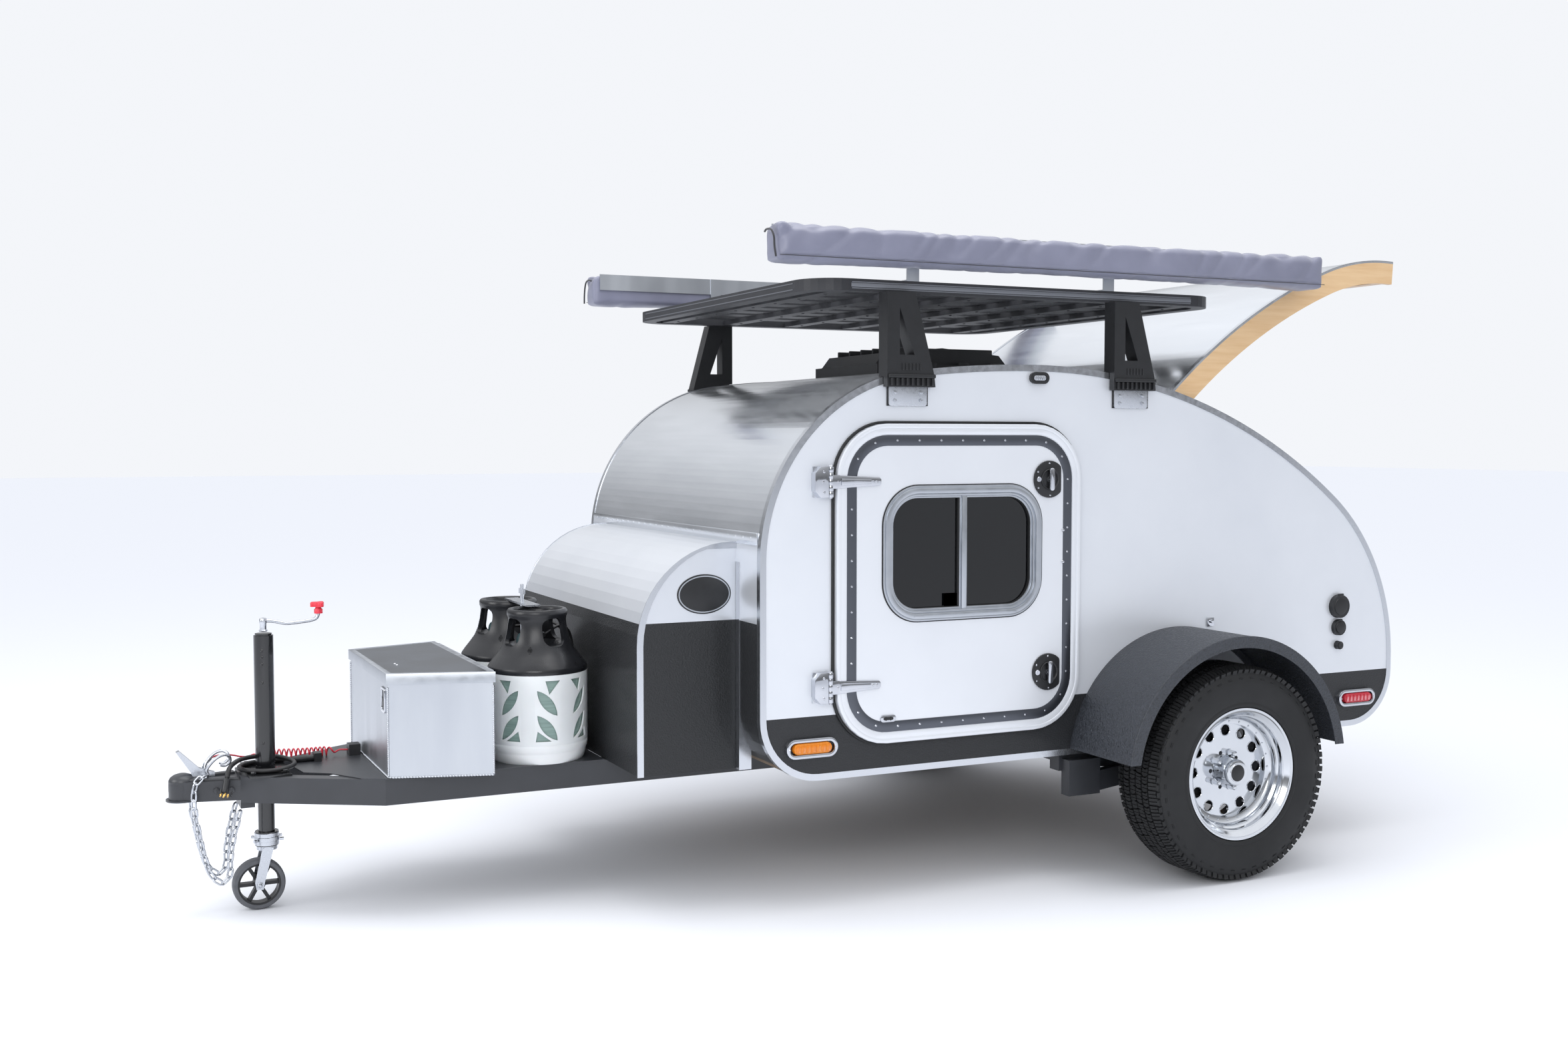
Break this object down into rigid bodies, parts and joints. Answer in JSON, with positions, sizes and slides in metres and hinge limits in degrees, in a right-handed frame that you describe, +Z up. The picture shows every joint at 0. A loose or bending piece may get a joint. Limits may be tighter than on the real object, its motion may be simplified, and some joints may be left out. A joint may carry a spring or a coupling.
{
  "type": "teardrop camping trailer",
  "caption": "Teardrop camping trailer with rear galley hatch held open, side doors, roof rack with side awnings, tongue box, gas bottles and jack wheel.",
  "frame": {"origin": "on the ground, in the middle of the overall length and width, hatch open as stored", "axes": "+X forward to the coupler, +Y to the left side, +Z up"},
  "size_m": [4.046, 2.15, 2.0282],
  "materials": {
    "frame_paint": "satin powder coat",
    "hub_iron": "painted",
    "polished_alloy": "polished",
    "tyre_rubber": "moulded rubber",
    "bedliner": "textured coating",
    "zinc": "zinc plated",
    "bottle_shell": "moulded",
    "black_plastic": "moulded",
    "brass": "machined",
    "mill_aluminium": "mill finish",
    "floor_ply": "sealed plywood",
    "birch_ply": "clear lacquer",
    "cabin_skin": "silver white over black",
    "trim_aluminium": "bright",
    "mattress_cloth": "woven",
    "chrome": "polished",
    "rack_black": "powder coat",
    "awning_vinyl": "coated fabric",
    "amber_lens": "clear lens",
    "red_lens": "clear lens",
    "red_cord": "coiled",
    "black_cord": "jacket"
  },
  "bodies": {
    "trailer": {"chassis_frame": "frame_paint", "suspension": "frame_paint", "left_fender": "bedliner", "right_fender": "bedliner", "tongue_deck": "frame_paint", "coupler": "frame_paint", "coupler_latch": "zinc", "jack_tube": "frame_paint", "jack_crank": "zinc", "gas_bottles": "bottle_shell", "gas_collars": "black_plastic", "gas_valves": "brass", "bottle_clamp": "zinc", "tongue_box": "mill_aluminium", "cabin_floor": "floor_ply", "left_wall": "cabin_skin", "right_wall": "cabin_skin", "edge_trim": "trim_aluminium", "front_wall": "cabin_skin", "roof": "cabin_skin", "rear_panel": "cabin_skin", "bulkhead": "birch_ply", "galley": "birch_ply", "mattress": "mattress_cloth", "storage_box": "cabin_skin", "storage_box_trim": "trim_aluminium", "hinge_leaves": "chrome", "roof_vent": "black_plastic", "rack_platform": "rack_black", "rack_legs": "black_plastic", "awning_bags": "awning_vinyl", "awning_rails": "mill_aluminium", "side_markers": "amber_lens", "rear_lights": "red_lens", "side_ports": "black_plastic", "safety_chains": "zinc", "breakaway_cord": "red_cord", "plug_cable": "black_cord", "cord_fittings": "black_plastic", "trailer_plug": "black_plastic"},
    "left_wheel": {"left_hub": "hub_iron", "left_rim": "polished_alloy", "left_tyre": "tyre_rubber"},
    "right_wheel": {"right_hub": "hub_iron", "right_rim": "polished_alloy", "right_tyre": "tyre_rubber"},
    "jack_leg_body": {"jack_leg": "frame_paint"},
    "caster_body": {"caster_fork": "zinc"},
    "caster_wheel_body": {"caster_wheel": "tyre_rubber"},
    "left_door_body": {"left_door": "cabin_skin", "left_door_window": "trim_aluminium", "left_door_fittings": "chrome"},
    "right_door_body": {"right_door": "cabin_skin", "right_door_window": "trim_aluminium", "right_door_fittings": "chrome"},
    "hatch_body": {"hatch": "cabin_skin", "hatch_ribs": "birch_ply", "hatch_trim": "trim_aluminium"},
    "tongue_lid": {"tongue_box_lid": "mill_aluminium"}
  },
  "joints": [
    {"name": "left_wheel_spin", "type": "hinge", "parent": "trailer", "child": "left_wheel", "pos_m": [-1.0855, 0.948, 0.344], "axis": [0, 1, 0], "continuous": true},
    {"name": "right_wheel_spin", "type": "hinge", "parent": "trailer", "child": "right_wheel", "pos_m": [-1.0855, -0.948, 0.344], "axis": [0, 1, 0], "continuous": true},
    {"name": "jack_slide", "type": "slide", "parent": "trailer", "child": "jack_leg_body", "axis": [0, 0, 1], "range_m": [-0.15, 0.09]},
    {"name": "caster_swivel", "type": "hinge", "parent": "jack_leg_body", "child": "caster_body", "pos_m": [1.7345, 0, 0.152], "axis": [0, 0, 1], "continuous": true},
    {"name": "caster_roll", "type": "hinge", "parent": "caster_body", "child": "caster_wheel_body", "pos_m": [1.7595, 0, 0.076], "axis": [0, 1, 0], "continuous": true},
    {"name": "left_door_swing", "type": "hinge", "parent": "trailer", "child": "left_door_body", "pos_m": [0.2395, 0.778, 0.671], "axis": [0, 0, -1], "range_deg": [0, 105]},
    {"name": "right_door_swing", "type": "hinge", "parent": "trailer", "child": "right_door_body", "pos_m": [0.2395, -0.778, 0.671], "axis": [0, 0, 1], "range_deg": [0, 105]},
    {"name": "hatch_swing", "type": "hinge", "parent": "trailer", "child": "hatch_body", "pos_m": [-1.03674, 0, 1.56007], "axis": [0, -1, 0], "range_deg": [0, 59.5]},
    {"name": "tongue_lid_swing", "type": "hinge", "parent": "trailer", "child": "tongue_lid", "pos_m": [1.1332, 0, 0.719], "axis": [0, -1, 0], "range_deg": [0, 80]}
  ]
}
